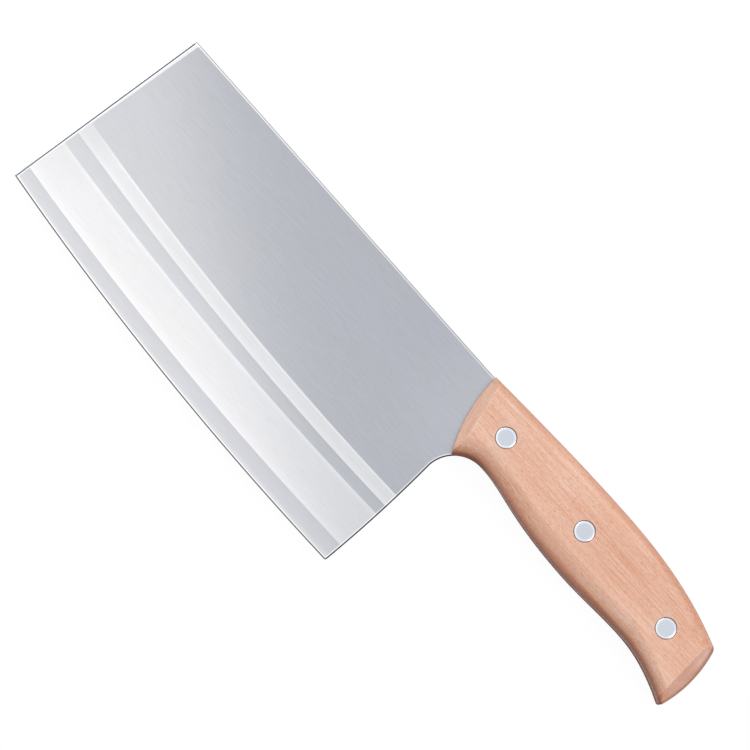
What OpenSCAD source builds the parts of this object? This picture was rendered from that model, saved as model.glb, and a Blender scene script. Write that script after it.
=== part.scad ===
// Chinese cleaver: a ground steel blade with a full tang, two wooden scales and three cutler's rivets.
// It lies on one scale: X runs from the toe to the butt, +Y to the spine, +Z out of the upper scale.
// Sizes are taken from the toe's corner at the spine, and the finished knife is moved to the middle
// of its own outline, with the lower scale's face at Z = 0.

/* [Blade] */
// Length of the spine from the toe to the wood
blade_l = 165.4; // [150:0.1:185]
// Depth from the spine to the lowest point of the edge
blade_deep = 91.4; // [84:0.1:98]
// Thickness of the steel plate, blade and tang alike
plate_t = 2; // [1.6:0.1:3]
// Radius of the cutting edge's curve
edge_r = 1250; // [900:10:2000]
// How far ahead of the wood the edge is lowest
edge_low = 24; // [10:1:50]
// Lean of the toe, in degrees: the edge end reaches further forward
toe_lean = 5.2; // [0:0.1:8]
// How far behind the wood's front the heel's line stands
heel_back = 7.8; // [6:0.1:10]
// Radius of the heel line's slight bow
heel_bow_r = 500; // [350:10:900]
// Depth below the spine where the heel line bows out furthest
heel_bow_deep = 72; // [60:1:80]
// Rounding of the toe's corner at the spine
toe_corner_r = 0.6; // [0.2:0.1:2]
// Rounding of the toe's corner at the edge
tip_corner_r = 0.4; // [0.2:0.1:1.5]
// Rounding of the heel's corner at the edge
heel_corner_r = 0.8; // [0.2:0.1:2]

/* [Grind] */
// Thickness left at the cutting edge
edge_t = 0.12; // [0.05:0.01:0.3]
// Width of the cutting bevel, at the edge's lowest point
bevel_w = 7.7; // [4:0.1:10]
// Thickness at the top of the cutting bevel
bevel_t = 0.72; // [0.5:0.01:0.9]
// Width from the edge to the top of the polished flank
flank_w = 24.6; // [18:0.1:26]
// Thickness at the top of the polished flank
flank_t = 1.6; // [1.4:0.02:1.65]
// Width from the edge to the top of the brushed band
band_w = 29.6; // [27:0.1:31]
// Thickness at the top of the brushed band
band_t = 1.72; // [1.7:0.01:1.8]
// Width from the edge to where the grind runs out into the flat
grind_w = 35.2; // [32:0.1:40]
// How much nearer the toe the grind's centre lies, which widens the bands toward the heel
grind_shift = 10; // [0:1:20]
// Width of the toe's bevel at the spine
toe_bevel_top = 1.3; // [0.5:0.1:2.5]
// Width of the toe's bevel at the edge
toe_bevel_low = 0.3; // [0.1:0.1:0.5]
// Slope of the toe's bevel, in degrees
toe_bevel_a = 22; // [10:1:35]
// Chamfer along the spine
spine_chamfer = 0.35; // [0.1:0.05:0.5]

/* [Handle] */
// Length of the handle from the wood's front to the butt
handle_l = 131; // [120:0.5:145]
// Thickness of one scale
scale_t = 9.5; // [7:0.1:12]
// How far the back of the handle stands above the spine at the front
back_front = 0.5; // [0:0.1:1.5]
// How far it stands above the spine at its fullest
back_swell = 2.95; // [1:0.1:5]
// Distance from the wood's front to that swell
back_swell_x = 69; // [60:1:80]
// How far the back drops below the spine at the butt
back_drop = 6; // [3:0.1:8]
// Depth of the neck below the spine, at the top of the choil
neck_deep = 25.7; // [24:0.1:28]
// Radius of the choil, the finger notch behind the heel
choil_r = 13.4; // [10:0.1:16]
// Depth of the lower line below the spine where it falls fastest, between neck and belly
shoulder_deep = 27.5; // [26:0.1:30]
// Distance from the wood's front to that place
shoulder_x = 37; // [30:1:50]
// Depth of the belly below the spine
belly_deep = 30.25; // [28:0.1:34]
// Distance from the wood's front to the belly
belly_x = 71; // [62:1:78]
// Depth of the waist below the spine, ahead of the butt
waist_deep = 28.9; // [26:0.1:31]
// Distance from the wood's front to the waist
waist_x = 101; // [94:1:106]
// Depth of the butt's hook below the spine
hook_deep = 35; // [32:0.1:38]
// Radius of the wood's arched front
front_r = 61.2; // [50:0.1:80]
// How far above the spine the centre of the arched front lies
front_rise = 3.4; // [0:0.1:10]
// Radius of the butt's arched end
butt_r = 45.3; // [38:0.1:60]
// Depth below the spine of the butt's furthest point
butt_deep = 23.2; // [18:0.1:28]

/* [Handle rounding] */
// Width of the lower edge's rounding at the neck
low_round_neck = 7.6; // [5:0.1:9]
// Width of the lower edge's rounding at the belly
low_round_belly = 9.2; // [6:0.1:11]
// Width of the lower edge's rounding at the butt
low_round_butt = 5.6; // [4:0.1:8]
// Height of the lower edge's rounding
low_round_h = 7; // [4:0.1:7]
// Width of the back edge's rounding at the front
back_round_front = 3; // [2:0.1:5]
// Width of the back edge's rounding along the grip
back_round_grip = 4.2; // [3:0.1:6]
// Height of the back edge's rounding
back_round_h = 4; // [3:0.1:6]
// Where the rounding starts on its ellipse, in degrees: 0 leaves no crease beside the flat face
crease = 22; // [0:1:35]
// Width of the front bevel at the middle of the arch
front_bevel_w = 4.3; // [2:0.1:6]
// Turn of the front bevel's ridge from square to the spine, in degrees
front_bevel_turn = 16.7; // [10:0.1:22]
// Width of the butt bevel at the middle of the arch
butt_bevel_w = 5.4; // [3:0.1:7]
// Turn of the butt bevel's ridge from square to the spine, in degrees
butt_bevel_turn = 4.5; // [0:0.1:10]
// Slope of both end bevels, in degrees
end_bevel_a = 52; // [35:1:60]

/* [Rivets] */
// Diameter of a rivet's head
head_d = 8; // [6:0.1:9]
// Thickness of a rivet's head
head_t = 3; // [2:0.1:4]
// Outer diameter of the tube half's barrel
barrel_d = 5; // [4:0.1:5.5]
// Diameter of the pin half's shank
pin_d = 3.2; // [2.5:0.1:3.5]
// Length of the pin's shank inside the barrel
pin_l = 10; // [6:0.1:11]
// Width of the bright rim chamfer on a head
rim_w = 0.45; // [0.2:0.05:0.8]
// Height of the rim chamfer
rim_h = 0.25; // [0.1:0.05:0.5]
// Distance from the wood's front to the first rivet
rivet_x = 18.8; // [16:0.1:24]
// Depth of the first rivet below the spine
rivet_deep = 11.55; // [9:0.1:15]
// Distance from the first rivet to the middle one
rivet_pitch_1 = 44.6; // [38:0.1:48]
// Distance from the middle rivet to the last one
rivet_pitch_2 = 46.3; // [38:0.1:48]
// Slope of the rivet line, as fall per length, following the handle's droop
rivet_fall = 0.027; // [0:0.001:0.04]

/* [Clearances] */
// How far a rivet's head lies under the wood's face
head_sink = 0.05; // [0:0.01:0.2]
// Gap all round a head in its counterbore
head_gap = 0.02; // [0.01:0.01:0.1]
// Gap all round a barrel in the wood and the tang
barrel_gap = 0.08; // [0.02:0.01:0.2]
// Gap all round the pin in the barrel
pin_gap = 0.03; // [0.01:0.01:0.1]
// Gap between the barrel's end and the pin half's head
end_gap = 1; // [0.3:0.1:2]

/* [Hidden] */

$fn = 96;
// Steps in a turn for the blade's long arcs, and for the handle's arched ends
long_fn = 2880;
arch_fn = 720;

steel = [0.74, 0.75, 0.78];
bright_steel = [0.84, 0.86, 0.89];
beech = [0.9, 0.71, 0.6];

// Room by which a cutter reaches past what it cuts
over = 1;

// Centre of the edge's circle, the butt's furthest point and half the handle's thickness
edge_low_x = blade_l - edge_low;
edge_cy = edge_r - blade_deep;
butt_x = blade_l + handle_l;
face_z = plate_t / 2 + scale_t;

// The toe line x = y tan(toe_lean) meets the edge's circle at the tip
toe_dir = [-sin(toe_lean), -cos(toe_lean)];
tip_b = toe_dir * [edge_low_x, edge_cy];
tip_len = tip_b + sqrt(tip_b ^ 2 - edge_low_x ^ 2 - edge_cy ^ 2 + edge_r ^ 2);
tip = toe_dir * tip_len;

// Centre of the finished outline, which becomes the origin
mid_x = (tip[0] + butt_x) / 2;
mid_y = (back_swell - blade_deep) / 2;

// The heel's line and the choil that starts from it
heel_x = blade_l + heel_back;
choil_c = [heel_x + choil_r, -neck_deep - choil_r];
heel_bow_c = [
    heel_x - sqrt(heel_bow_r ^ 2 - (heel_bow_deep + choil_c[1]) ^ 2),
    -heel_bow_deep
];

// The heel's corner, where its bowed line meets the edge's arc
heel_y = edge_cy - sqrt(edge_r ^ 2 - (heel_x - edge_low_x) ^ 2);
heel = [heel_bow_c[0] + sqrt(heel_bow_r ^ 2 - (heel_y - heel_bow_c[1]) ^ 2), heel_y];

// Turns of the edge at the tip and at the heel, and of the heel line at the heel
tip_fall = asin((edge_low_x - tip[0]) / edge_r);
heel_rise = asin((heel[0] - edge_low_x) / edge_r);
heel_turn = asin((heel[1] - heel_bow_c[1]) / heel_bow_r);

// Centres of the wood's arched front and of the butt
front_c = [blade_l + sqrt(front_r ^ 2 - front_rise ^ 2), front_rise];
butt_c = [butt_x - butt_r, -butt_deep];

// Slopes of the handle's lines: the back's at its two ends, the lower line's at the shoulder and hook
front_slope = 0.055;
back_slope = -0.36;
shoulder_slope = -0.18;
hook_slope = -0.42;
// How far ahead of the butt's furthest point its two corners lie
corner_run = 3;

// Handle lines as [x, y, slope] stations, joined by cubic pieces
back_line = [
    [blade_l, back_front, front_slope],
    [blade_l + back_swell_x, back_swell, 0],
    [butt_x - corner_run, -back_drop, back_slope]
];
belly_line = [
    [choil_c[0], -neck_deep, 0],
    [blade_l + shoulder_x, -shoulder_deep, shoulder_slope],
    [blade_l + belly_x, -belly_deep, 0],
    [blade_l + waist_x, -waist_deep, 0],
    [butt_x - corner_run, -hook_deep, hook_slope]
];
low_round = [
    [choil_c[0], low_round_neck, 0],
    [blade_l + belly_x, low_round_belly, 0],
    [butt_x - corner_run, low_round_butt, 0]
];
back_round = [
    [blade_l, back_round_front, 0],
    [blade_l + back_swell_x / 2, back_round_grip, 0]
];

// Steps of the handle's mesh round the choil, along the grip and over each rounding
choil_steps = 12;
grip_steps = 28;
round_steps = 6;
// How far the handle's mesh runs past its arched ends before they are cut
lead = 6;
rivet_places = ["front", "middle", "rear"];

// Value at x of a cubic piece between two stations
function piece(a, b, x) =
    let (h = b[0] - a[0], t = (x - a[0]) / h)
    (2 * t ^ 3 - 3 * t ^ 2 + 1) * a[1] + (t ^ 3 - 2 * t ^ 2 + t) * h * a[2]
    + (3 * t ^ 2 - 2 * t ^ 3) * b[1] + (t ^ 3 - t ^ 2) * h * b[2];

// Value at x of the smooth line through all stations, straight beyond its ends
function line_at(st, x, i = 0) =
    x <= st[0][0] ? st[0][1] + st[0][2] * (x - st[0][0])
    : i == len(st) - 1 ? st[i][1] + st[i][2] * (x - st[i][0])
    : x <= st[i + 1][0] ? piece(st[i], st[i + 1], x)
    : line_at(st, x, i + 1);

// Unit direction square to a line at x, to the left of its run
function square_at(st, x, step = 0.01) =
    let (s = (line_at(st, x + step) - line_at(st, x - step)) / (2 * step))
    [-s, 1] / sqrt(1 + s ^ 2);

function turned(a) = [cos(a), sin(a)];

// Places along the grip, from the top of the choil to past the butt
grip_xs = [
    for (i = [1:grip_steps])
    choil_c[0] + (butt_x + lead - choil_c[0]) * i / grip_steps
];

// The handle's lower line: each entry is [point, inward direction, rounding width]
low_side = concat(
    [
        for (i = [0:choil_steps])
        let (d = turned(180 - 90 * i / choil_steps))
        [choil_c + choil_r * d, d, low_round_neck]
    ],
    [
        for (x = grip_xs)
        [[x, line_at(belly_line, x)], square_at(belly_line, x), line_at(low_round, x)]
    ]
);

// The handle's back line, in as many entries
back_xs = concat(
    [
        for (i = [0:choil_steps])
        blade_l - lead + (choil_c[0] - blade_l + lead) * i / choil_steps
    ],
    grip_xs
);
back_side = [
    for (x = back_xs)
    [[x, line_at(back_line, x)], -square_at(back_line, x), line_at(back_round, x)]
];

// One side of a section, from the tang up to the flat face: an upright wall, then part of an ellipse
function side_points(side, h) =
    let (
        wide = side[2] / (1 - sin(crease)),
        tall = h / cos(crease)
    )
    [
        for (k = [-1:round_steps])
        let (
            a = 90 - (90 - crease) * max(k, 0) / round_steps,
            p = side[0] + side[1] * wide * (1 - sin(a))
        )
        [p[0], p[1], k < 0 ? plate_t / 2 : face_z - h + tall * cos(a)]
    ];

function reversed(v) = [for (i = [len(v) - 1:-1:0]) v[i]];

// Moves a piece from the toe's corner to the finished knife's origin
module in_place() {
    translate([-mid_x, -mid_y, face_z])
        children();
}

// Rounds off an upright corner at p whose sides leave at angles a and b
module corner_cut(p, a, b, r) {
    half = (b - a) / 2;
    mid = turned(a + half);
    centre = p + mid * r / sin(half);
    reach = r / tan(half);
    linear_extrude(plate_t + 2 * over, center = true)
        difference() {
            polygon([p - mid * over, p + turned(a) * reach, centre, p + turned(b) * reach]);
            translate(centre)
                circle(r);
        }
}

// Everything outside an arched end: the arch bulges away from its centre toward the given side
module outside_arch(centre, r, side) {
    reach = 2 * r;
    translate([centre[0], centre[1], 0])
        difference() {
            translate([side < 0 ? -reach : 0, -reach, -face_z - over])
                cube([reach, 2 * reach, 2 * (face_z + over)]);
            cylinder(h = 2 * (face_z + 2 * over), r = r, center = true, $fn = arch_fn);
        }
}

// The plate's outline before its edge, heel line and butt are cut
module plate_outline() {
    tang_back = [for (s = back_side) if (s[0][0] > blade_l + over) s[0]];
    tang_low = [for (s = low_side) s[0]];
    bottom = -blade_deep - 2 * over;
    polygon(concat(
        [[bottom * tan(toe_lean), bottom], [0, 0], [tang_back[0][0], 0]],
        tang_back,
        reversed(tang_low),
        [[heel_x + 2 * over, choil_c[1]], [heel_x + 2 * over, bottom]]
    ));
}

// What lies below the cutting edge's arc
module below_edge() {
    translate([edge_low_x, edge_cy, 0])
        difference() {
            translate([-edge_r / 4, -edge_r - 4 * over, -plate_t])
                cube([edge_r / 2, edge_r / 4, 2 * plate_t]);
            cylinder(h = 3 * plate_t, r = edge_r, center = true, $fn = long_fn);
        }
}

// What lies behind the heel's bowed line
module behind_heel() {
    difference() {
        translate([heel_x - 2 * over, -blade_deep - 3 * over, -plate_t])
            cube([6 * over, blade_deep + 3 * over + choil_c[1], 2 * plate_t]);
        translate([heel_bow_c[0], heel_bow_c[1], 0])
            cylinder(h = 3 * plate_t, r = heel_bow_r, center = true, $fn = long_fn);
    }
}

// Steel ground off the upper face: bands of even width that follow the edge's arc
module ground_off() {
    grind_c = [edge_low_x - grind_shift, edge_cy];
    spread = asin((grind_c[0] - tip[0] + lead) / (edge_r - grind_w));
    translate([grind_c[0], grind_c[1], 0])
        rotate([0, 0, -90 - spread])
            rotate_extrude(angle = 2 * spread, $fn = long_fn)
                polygon([
                    [edge_r + 3 * over, edge_t / 2],
                    [edge_r, edge_t / 2],
                    [edge_r - bevel_w, bevel_t / 2],
                    [edge_r - flank_w, flank_t / 2],
                    [edge_r - band_w, band_t / 2],
                    [edge_r - grind_w, plate_t / 2],
                    [edge_r - grind_w, plate_t],
                    [edge_r + 3 * over, plate_t]
                ]);
}

// The narrow bevel along the toe, widest at the spine
module toe_bevel() {
    turn = atan((toe_bevel_top - toe_bevel_low) / tip_len);
    translate([toe_bevel_top, 0, plate_t / 2])
        rotate([0, 0, 90 - toe_lean - turn])
            rotate([toe_bevel_a, 0, 0])
                translate([-blade_deep - 5 * over, -over, 0])
                    cube([blade_deep + 10 * over, 5 * over, plate_t]);
}

// The fine chamfer along the spine, as far as the wood
module spine_edge() {
    translate([-over, -spine_chamfer, plate_t / 2])
        rotate([-45, 0, 0])
            translate([0, -over, 0])
                cube([blade_l + over, 4 * over, plate_t]);
}

// Centre of rivet i, counted from the front
function rivet_at(i) =
    let (along = [0, rivet_pitch_1, rivet_pitch_1 + rivet_pitch_2][i])
    [blade_l + rivet_x + along, -rivet_deep - rivet_fall * along];

// Repeats its children at the three rivets
module at_rivets() {
    for (i = [0:len(rivet_places) - 1])
        translate(rivet_at(i))
            children();
}

// Repeats its children on both faces of the plate
module both_faces() {
    for (side = [0, 1])
        mirror([0, 0, side])
            children();
}

// The rough plate with the bands of its grind on both faces
module ground_plate() {
    difference() {
        linear_extrude(plate_t, center = true)
            plate_outline();
        both_faces()
            ground_off();
    }
}

// The ground plate, cut to its outline, its corners rounded, and drilled for the rivets
module cut_plate() {
    difference() {
        difference() {
            ground_plate();
            below_edge();
            behind_heel();
            outside_arch(butt_c, butt_r, 1);
        }
        corner_cut([0, 0], -90 - toe_lean, 0, toe_corner_r);
        corner_cut(tip, -tip_fall, 90 - toe_lean, tip_corner_r);
        corner_cut(heel, 90 + heel_turn, 180 + heel_rise, heel_corner_r);
        at_rivets()
            cylinder(h = 2 * plate_t, d = barrel_d + 2 * barrel_gap, center = true);
    }
}

module blade() {
    color(steel)
        in_place()
            difference() {
                cut_plate();
                both_faces() {
                    toe_bevel();
                    spine_edge();
                }
            }
}

// The rough scale: sections lofted from the choil to past the butt
module scale_body() {
    rows = [
        for (i = [0:len(low_side) - 1])
        concat(side_points(low_side[i], low_round_h), reversed(side_points(back_side[i], back_round_h)))
    ];
    n = len(rows[0]);
    last = (len(rows) - 1) * n;
    walls = [
        for (i = [0:len(rows) - 2], j = [0:n - 1])
        let (a = i * n + j, b = i * n + (j + 1) % n)
        each [[a, a + n, b + n], [a, b + n, b]]
    ];
    caps = [for (j = [1:n - 2]) each [[0, j, j + 1], [last, last + j + 1, last + j]]];
    polyhedron(points = [for (r = rows) each r], faces = concat(walls, caps));
}

// Takes an end bevel off the upper face, r inside the arch and turned to face outward
module end_bevel(centre, r, turn) {
    wide = 60;
    deep = 30;
    translate([centre[0], centre[1], face_z])
        rotate([0, 0, turn])
            translate([r, 0, 0])
                rotate([0, end_bevel_a, 0])
                    translate([-over, -wide / 2, 0])
                        cube([deep, wide, deep]);
}

// A finished scale, on the upper side
module scale() {
    difference() {
        scale_body();
        outside_arch(front_c, front_r, -1);
        outside_arch(butt_c, butt_r, 1);
        end_bevel(front_c, front_r - front_bevel_w, 180 + front_bevel_turn);
        end_bevel(butt_c, butt_r - butt_bevel_w, butt_bevel_turn);
        at_rivets() {
            cylinder(h = 2 * face_z, d = barrel_d + 2 * barrel_gap, center = true);
            translate([0, 0, face_z - head_t])
                cylinder(h = head_t + over, d = head_d + 2 * head_gap);
        }
    }
}

module scale_upper() {
    color(beech)
        in_place()
            scale();
}

module scale_lower() {
    color(beech)
        in_place()
            mirror([0, 0, 1])
                scale();
}

// A head with its bright rim, standing on z = 0
module head() {
    t = head_t - head_sink;
    cylinder(h = t - rim_h, d = head_d);
    translate([0, 0, t - rim_h])
        cylinder(h = rim_h, d1 = head_d, d2 = head_d - 2 * rim_w);
}

// The rivet half with the barrel, its head in the upper scale
module tube_half() {
    seat_z = face_z - head_t;
    barrel_l = 2 * seat_z - end_gap;
    difference() {
        union() {
            translate([0, 0, seat_z])
                head();
            translate([0, 0, seat_z - barrel_l])
                cylinder(h = barrel_l + over, d = barrel_d);
        }
        translate([0, 0, seat_z - barrel_l - over])
            cylinder(h = barrel_l + over, d = pin_d + 2 * pin_gap);
    }
}

// The rivet half with the pin, its head in the lower scale
module pin_half() {
    seat_z = face_z - head_t;
    translate([0, 0, -seat_z])
        mirror([0, 0, 1])
            head();
    translate([0, 0, -seat_z - over])
        cylinder(h = pin_l + end_gap + over, d = pin_d);
}

module rivet_tube(i) {
    color(bright_steel)
        in_place()
            translate(rivet_at(i))
                tube_half();
}

module rivet_pin(i) {
    color(bright_steel)
        in_place()
            translate(rivet_at(i))
                pin_half();
}

blade();
scale_upper();
scale_lower();
rivet_tube(0);  // rivet_tube_front
rivet_tube(1);  // rivet_tube_middle
rivet_tube(2);  // rivet_tube_rear
rivet_pin(0);  // rivet_pin_front
rivet_pin(1);  // rivet_pin_middle
rivet_pin(2);  // rivet_pin_rear
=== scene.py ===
"""Looks of the chinese cleaver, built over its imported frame.

The knife lies on its lower scale: +X runs from the toe to the butt, +Y to the spine, +Z out of the
upper scale. Shapes are worked out in millimetres from the toe's corner at the spine, with z = 0 in
the middle of the plate, and are then moved to the frame and turned into metres.
"""
import math

import bpy
import numpy as np
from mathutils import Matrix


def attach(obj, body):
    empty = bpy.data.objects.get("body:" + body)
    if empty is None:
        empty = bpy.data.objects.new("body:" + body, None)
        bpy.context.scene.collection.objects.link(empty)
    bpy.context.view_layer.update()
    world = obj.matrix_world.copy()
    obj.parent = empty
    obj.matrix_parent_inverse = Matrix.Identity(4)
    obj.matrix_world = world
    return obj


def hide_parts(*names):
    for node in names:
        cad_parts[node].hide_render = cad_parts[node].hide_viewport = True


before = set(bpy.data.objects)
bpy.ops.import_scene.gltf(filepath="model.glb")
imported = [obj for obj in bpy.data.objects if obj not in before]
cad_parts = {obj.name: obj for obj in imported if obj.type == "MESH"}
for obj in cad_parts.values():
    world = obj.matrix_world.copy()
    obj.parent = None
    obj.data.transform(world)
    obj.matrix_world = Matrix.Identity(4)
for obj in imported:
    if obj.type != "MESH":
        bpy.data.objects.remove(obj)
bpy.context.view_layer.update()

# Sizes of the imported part, in mm
BLADE_L, BLADE_DEEP, PLATE_T, EDGE_L = 165.4, 91.4, 2.0, 180.0
EDGE_R, EDGE_LOW_X = 1250.0, 141.4
TOE_LEAN = math.radians(5.2)
HEEL_X, HEEL_BOW_R, HEEL_BOW_DEEP = 173.2, 500.0, 72.0
BUTT_X, FACE_Z, SWELL = 296.4, 10.5, 2.95
CHOIL_R, NECK_DEEP = 13.4, 25.7
FRONT_R, FRONT_RISE, BUTT_R, BUTT_DROP = 61.2, 3.4, 45.3, 23.2
LOW_ROUND_H, BACK_ROUND_H, CREASE = 7.0, 4.0, math.radians(22)
END_BEVEL = math.radians(52)
FRONT_RIDGE, FRONT_TURN = 56.9, math.radians(180 + 16.7)
BUTT_RIDGE, BUTT_TURN = 39.9, math.radians(4.5)
HEAD_R, HEAD_T, HEAD_SINK, HEAD_GAP = 4.0, 3.0, 0.05, 0.02
BARREL_R, BARREL_GAP, PIN_R, PIN_GAP = 2.5, 0.08, 1.6, 0.03
PIN_L, PIN_CHAMFER, END_GAP, RIM_W, RIM_H = 10.0, 0.3, 1.0, 0.45, 0.25

# Sizes that only the looks have, in mm: corners in plan, the rounds and the chamfer along the rims
# of plate and wood, how much the edge falls and over what width, how softly the end bevels start,
# the lip of the wood round a rivet head, how far the tang shows beyond the upper scale and how far
# the lower scale's rim stands inside the outline
TOE_CORNER_R, TIP_CORNER_R, HEEL_CORNER_R, BUTT_CORNER_R = 0.6, 0.4, 0.8, 1.2
BLADE_RIM_R, TANG_RIM_R, SPINE_CHAMFER = 0.12, 0.06, 0.35
EDGE_FALL, EDGE_FALL_W = 0.05, 0.35
FRONT_RIM_R, BUTT_RIM_R = 0.3, 1.2
FRONT_SOFT, BUTT_SOFT = 0.06, 0.10
LIP_W, LIP_H = 0.13, 0.2
TANG_SHOW, LOWER_SHOW = 0.16, 0.1

EDGE_C = np.array([EDGE_LOW_X, EDGE_R - BLADE_DEEP])
CHOIL_C = np.array([HEEL_X + CHOIL_R, -NECK_DEEP - CHOIL_R])
BOW_C = np.array([
    HEEL_X - math.sqrt(HEEL_BOW_R ** 2 - (HEEL_BOW_DEEP + CHOIL_C[1]) ** 2), -HEEL_BOW_DEEP])
FRONT_C = np.array([BLADE_L + math.sqrt(FRONT_R ** 2 - FRONT_RISE ** 2), FRONT_RISE])
BUTT_C = np.array([BUTT_X - BUTT_R, -BUTT_DROP])
TOE_DIR = np.array([-math.sin(TOE_LEAN), -math.cos(TOE_LEAN)])
TIP_LEN = TOE_DIR @ EDGE_C + math.sqrt((TOE_DIR @ EDGE_C) ** 2 - EDGE_C @ EDGE_C + EDGE_R ** 2)
TIP = TOE_DIR * TIP_LEN
MID = np.array([(TIP[0] + BUTT_X) / 2, (SWELL - BLADE_DEEP) / 2])
RIVETS = {"front": (184.2, -11.55), "middle": (228.8, -12.754), "rear": (275.1, -14.004)}

# Handle lines as [x, y, slope] stations
BACK_LINE = [[165.4, 0.5, 0.055], [234.4, 2.95, 0], [293.4, -6, -0.36]]
BELLY_LINE = [
    [186.6, -25.7, 0], [202.4, -27.5, -0.18], [236.4, -30.25, 0], [266.4, -28.9, 0],
    [293.4, -35, -0.42]]
LOW_ROUND = [[186.6, 7.6, 0], [236.4, 9.2, 0], [293.4, 5.6, 0]]
BACK_ROUND = [[165.4, 3, 0], [199.9, 4.2, 0]]

# Where the grind's bands end, from the edge: nominal width, width at the toe and at the heel, how
# much wider than their mean it is halfway, and half the plate's thickness there. Steel beyond the
# bands counts as lying UNGROUND mm from the edge.
BAND_B = [0, 7.7, 24.6, 29.6, 35.2]
BAND_TOE = [0, 6.15, 21.73, 28.2, 34.13]
BAND_HEEL = [0, 8.02, 25.39, 29.8, 35.33]
BAND_BOW = [0, 0.17, 0.47, 0.18, 0.11]
BAND_HALF = [0.06, 0.36, 0.80, 0.86, 1.0]
UNGROUND = 40.0

# Distances of the grids' first lines from a rim, on the plate and on the wood, how far from a
# rivet's centre its rings take the place of the grid, and at which shares of the way in they lie
FINE = [0, 0.05, 0.12, 0.2, 0.28, 0.36, 0.5, 0.7, 1.0, 1.5]
WOOD_FINE = [0, 0.05, 0.12, 0.2, 0.28, 0.36]
PLATE_WINDOW, WOOD_WINDOW = 4.6, 5.6
RING_SHARES = (0.35, 0.65, 0.85, 0.96, 1.0)

# Where the blade's grid ends over the choil: how far its seam swings toward the butt, and over what
# height. FAR is the distance to a border that doesn't bound a place.
SEAM_SWING, SEAM_RISE = 6.0, 9.0
FAR = 99


# Shared shape tools
def line_at(stations, x):
    """Height of a line at x: between two stations the cubic that has both their heights and
    slopes, and straight on beyond the first and last."""
    st = np.asarray(stations, float)
    x = np.asarray(x, float)
    i = np.clip(np.searchsorted(st[:, 0], x) - 1, 0, len(st) - 2)
    a, b = st[i], st[i + 1]
    h = b[..., 0] - a[..., 0]
    t = np.clip((x - a[..., 0]) / h, 0, 1)
    y = ((2 * t ** 3 - 3 * t ** 2 + 1) * a[..., 1] + (t ** 3 - 2 * t ** 2 + t) * h * a[..., 2]
         + (3 * t ** 2 - 2 * t ** 3) * b[..., 1] + (t ** 3 - t ** 2) * h * b[..., 2])
    return (y + st[0, 2] * np.minimum(x - st[0, 0], 0)
            + st[-1, 2] * np.maximum(x - st[-1, 0], 0))


def eased(t):
    """Rises from 0 to 1 as three t squared less two t cubed, level at both ends."""
    t = np.clip(t, 0, 1)
    return t * t * (3 - 2 * t)


def quarter_drop(d, r):
    """Fall of a quarter round of radius r at distance d from the rim: r less the root of
    r squared less (r - d) squared, and nothing further in."""
    k = np.clip(r - d, 0, r)
    return r - np.sqrt(np.maximum(r * r - k * k, 0))


def soft_least(a, b, k):
    """The lesser of a and b, with the corner where they meet rounded over about k."""
    return -k * np.logaddexp(-a / k, -b / k)


def inside_arc(points, centre, r, ahead):
    """How far inside the circle round centre the points lie: r less their distance from it. Where
    they are behind its centre, as seen along X times ahead, it doesn't bound them: this is FAR."""
    behind = (points[:, 0] - centre[0]) * ahead < 0
    return np.where(behind, FAR, r - np.hypot(*(points - centre).T))


def arc_between(centre, p, q, share):
    """Points on the circle round centre from p to q, at the given shares of the turn."""
    a, b = (math.atan2(v[1] - centre[1], v[0] - centre[0]) % (2 * math.pi) for v in (p, q))
    if abs(b - a) > math.pi:
        b += 2 * math.pi * (1 if b < a else -1)
    turn = a + (b - a) * share
    r = math.hypot(p[0] - centre[0], p[1] - centre[1])
    return centre + r * np.column_stack([np.cos(turn), np.sin(turn)])


def run_length(points):
    """Length run along a line of points, from 0 at the first."""
    return np.concatenate([[0], np.cumsum(np.hypot(*np.diff(points, axis=0).T))])


def spaced(length, near, step, far):
    """Places along 0 to length: the given near ones from the start, the far ones mirrored from
    the end, and even steps between."""
    lo, hi = near[-1], length - far[-1]
    n = max(2, int(round((hi - lo) / step)))
    return np.concatenate([near[:-1], np.linspace(lo, hi, n + 1), length - np.array(far[-2::-1])])


def filled(low, high, left, right, v):
    """Grid between four border lines that share their corners: the blend between low and high at
    the shares v, corrected so that its two ends lie on left and right (a Coons patch)."""
    s = run_length(low)
    s = (s / s[-1])[None, :, None]
    v = v[:, None, None]
    flat = (1 - v) * low[None] + v * high[None]
    return flat + (1 - s) * (left[:, None] - flat[:, :1]) + s * (right[:, None] - flat[:, -1:])


def rounded_corner(xy, corner, along, up, reach):
    """Turns the square corner of a grid into a quarter round: within reach of the corner, in
    coordinates along its two borders, each square ring becomes a ring of even radius."""
    borders = np.column_stack([along, up]).T
    ab = (xy - corner) @ np.linalg.inv(borders)
    k = np.maximum(reach - ab, 0)
    near = (k > 0).all(1)[:, None]
    rounder = (k.max(1) / np.maximum(np.hypot(*k.T), 1e-9))[:, None]
    return corner + np.where(near, reach - k * rounder, ab) @ borders


def grid_quads(rows, cols, skip=None):
    """Quads of a grid of rows by cols vertices, leaving out the cells that skip marks."""
    k = np.arange(rows * cols).reshape(rows, cols)
    q = np.stack([k[:-1, :-1], k[:-1, 1:], k[1:, 1:], k[1:, :-1]], -1)
    return q.reshape(-1, 4) if skip is None else q[~skip]


def ring_quads(rings):
    """Quads between rows of vertex numbers, each row a ring closed on itself."""
    nxt = np.roll(rings, -1, axis=1)
    return np.stack([rings[:-1], nxt[:-1], nxt[1:], rings[1:]], -1).reshape(-1, 4)


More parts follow.
